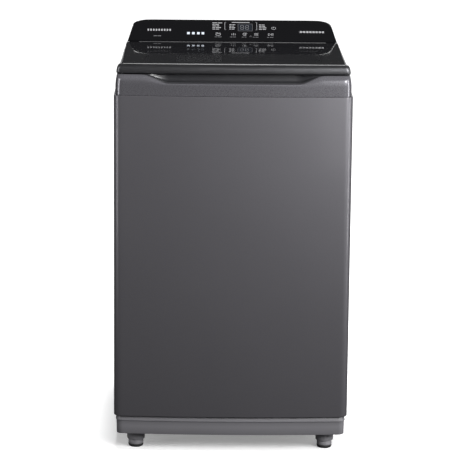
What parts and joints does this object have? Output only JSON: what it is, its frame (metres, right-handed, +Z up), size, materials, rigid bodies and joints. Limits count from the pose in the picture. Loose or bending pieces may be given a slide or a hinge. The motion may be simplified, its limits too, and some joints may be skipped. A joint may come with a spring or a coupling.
{
  "type": "top load washing machine",
  "caption": "Top load washing machine with bowed metallic cabinet, hinged smoked glass lid, sloped black console, hung tub, spinning basket, pulsator and belt drive.",
  "frame": {"origin": "middle of the overall footprint, on the floor under the feet", "axes": "+X to the machine's left-to-right as seen from the front, front faces -Y, +Z up"},
  "size_m": [0.54, 0.56, 0.945],
  "materials": {
    "cabinet_paint": "satin metallic paint",
    "zinc_steel": "zinc plated sheet",
    "spring_steel": "oiled wire",
    "black_plastic": "fine moulded grain",
    "rubber": "matt",
    "cover_plastic": "metallic moulded plastic",
    "console_gloss": "high gloss film",
    "display_glass": "tinted display window",
    "lid_glass": "smoked toughened glass",
    "trim_metal": "dark metallic nose",
    "white_plastic": "smooth moulded plastic",
    "tub_plastic": "filled polypropylene",
    "circuit_board": "lacquered board",
    "hose_grey": "corrugated hose",
    "cast_aluminium": "cast",
    "motor_steel": "black lacquered steel",
    "stainless": "pressed and perforated stainless sheet"
  },
  "bodies": {
    "cabinet": {"cabinet": "cabinet_paint", "rear_panel": "zinc_steel", "rear_panel_screws": "zinc_steel", "base_plinth": "black_plastic", "rear_feet": "rubber", "foot_locknuts": "zinc_steel", "corner_gussets": "zinc_steel", "suspension_rods": "zinc_steel", "rod_seats": "white_plastic", "suspension_springs": "spring_steel", "top_cover": "cover_plastic", "top_cover_screws": "zinc_steel", "console_housing": "console_gloss", "console_panel": "console_gloss", "display_window": "display_glass", "control_board": "circuit_board", "detergent_housing": "white_plastic", "inlet_valve": "white_plastic", "water_level_sensor": "white_plastic", "lid_switch": "black_plastic", "lid_bumpers": "rubber", "cord_gland": "black_plastic", "drain_outlet": "black_plastic", "drain_hose": "hose_grey"},
    "left_foot": {"left_foot_screw": "zinc_steel", "left_foot_pad": "rubber"},
    "right_foot": {"right_foot_screw": "zinc_steel", "right_foot_pad": "rubber"},
    "lid": {"lid_frame": "black_plastic", "lid_glass": "lid_glass", "lid_front_trim": "trim_metal", "lid_hinge_pins": "zinc_steel", "lid_magnet": "zinc_steel"},
    "tub": {"outer_tub": "tub_plastic", "tub_cover": "tub_plastic", "tub_bracket": "zinc_steel", "clutch_housing": "cast_aluminium", "motor": "motor_steel", "drain_valve": "white_plastic", "drain_actuator": "white_plastic", "damper_cups": "black_plastic", "drive_belt": "rubber"},
    "basket": {"wash_basket": "stainless", "balance_ring": "white_plastic", "basket_hub": "cast_aluminium", "spin_shaft": "stainless"},
    "left_filter": {"left_lint_filter": "white_plastic"},
    "right_filter": {"right_lint_filter": "white_plastic"},
    "pulsator": {"pulsator": "white_plastic", "pulsator_cap": "stainless", "wash_shaft": "stainless"},
    "drive_pulley": {"drive_pulley": "cast_aluminium"},
    "motor_rotor": {"motor_pulley": "motor_steel"},
    "drawer": {"detergent_drawer": "white_plastic"},
    "wash_key": {"wash_button": "console_gloss"},
    "rinse_key": {"rinse_button": "console_gloss"},
    "spin_key": {"spin_button": "console_gloss"},
    "program_key": {"program_button": "console_gloss"},
    "start_key": {"start_button": "console_gloss"},
    "power_key": {"power_button": "console_gloss"}
  },
  "joints": [
    {"name": "lid_hinge", "type": "hinge", "parent": "cabinet", "child": "lid", "pos_m": [0, 0.1365, 0.8915], "axis": [-1, 0, 0], "range_deg": [0, 95]},
    {"name": "tub_bounce", "type": "slide", "parent": "cabinet", "child": "tub", "axis": [0, 0, 1], "range_m": [-0.02, 0.012], "stiffness_N_per_m": 15000, "springref_m": 0.02047, "deforming": ["suspension_springs", "drain_hose"]},
    {"name": "basket_spin", "type": "hinge", "parent": "tub", "child": "basket", "pos_m": [0, -0.008, 0.3], "axis": [0, 0, 1], "continuous": true},
    {"name": "pulsator_spin", "type": "hinge", "parent": "basket", "child": "pulsator", "pos_m": [0, -0.008, 0.27], "axis": [0, 0, 1], "continuous": true},
    {"name": "pulley_spin", "type": "hinge", "parent": "tub", "child": "drive_pulley", "pos_m": [0, -0.008, 0.1], "axis": [0, 0, 1], "continuous": true},
    {"name": "motor_spin", "type": "hinge", "parent": "tub", "child": "motor_rotor", "pos_m": [0.112, 0.086, 0.1], "axis": [0, 0, 1], "continuous": true},
    {"name": "left_filter_pull", "type": "slide", "parent": "basket", "child": "left_filter", "axis": [1, 0, 0], "range_m": [0, 0.04]},
    {"name": "right_filter_pull", "type": "slide", "parent": "basket", "child": "right_filter", "axis": [-1, 0, 0], "range_m": [0, 0.04]},
    {"name": "drawer_slide", "type": "slide", "parent": "cabinet", "child": "drawer", "axis": [0, -1, 0], "range_m": [0, 0.075]},
    {"name": "left_foot_screw_travel", "type": "slide", "parent": "cabinet", "child": "left_foot", "axis": [0, 0, -1], "range_m": [0, 0.01]},
    {"name": "right_foot_screw_travel", "type": "slide", "parent": "cabinet", "child": "right_foot", "axis": [0, 0, -1], "range_m": [0, 0.01]},
    {"name": "wash_press", "type": "slide", "parent": "cabinet", "child": "wash_key", "axis": [0, 0.506, -0.8625], "range_m": [0, 0.0012], "stiffness_N_per_m": 400, "springref_m": -0.0006},
    {"name": "rinse_press", "type": "slide", "parent": "cabinet", "child": "rinse_key", "axis": [0, 0.506, -0.8625], "range_m": [0, 0.0012], "stiffness_N_per_m": 400, "springref_m": -0.0006},
    {"name": "spin_press", "type": "slide", "parent": "cabinet", "child": "spin_key", "axis": [0, 0.506, -0.8625], "range_m": [0, 0.0012], "stiffness_N_per_m": 400, "springref_m": -0.0006},
    {"name": "program_press", "type": "slide", "parent": "cabinet", "child": "program_key", "axis": [0, 0.506, -0.8625], "range_m": [0, 0.0012], "stiffness_N_per_m": 400, "springref_m": -0.0006},
    {"name": "start_press", "type": "slide", "parent": "cabinet", "child": "start_key", "axis": [0, 0.506, -0.8625], "range_m": [0, 0.0012], "stiffness_N_per_m": 400, "springref_m": -0.0006},
    {"name": "power_press", "type": "slide", "parent": "cabinet", "child": "power_key", "axis": [0, 0.506, -0.8625], "range_m": [0, 0.0012], "stiffness_N_per_m": 400, "springref_m": -0.0006}
  ],
  "couplings": [
    {"joint": "pulsator_spin", "follows": "pulley_spin", "ratio": 0.1923},
    {"joint": "motor_spin", "follows": "pulley_spin", "ratio": 3.4}
  ]
}
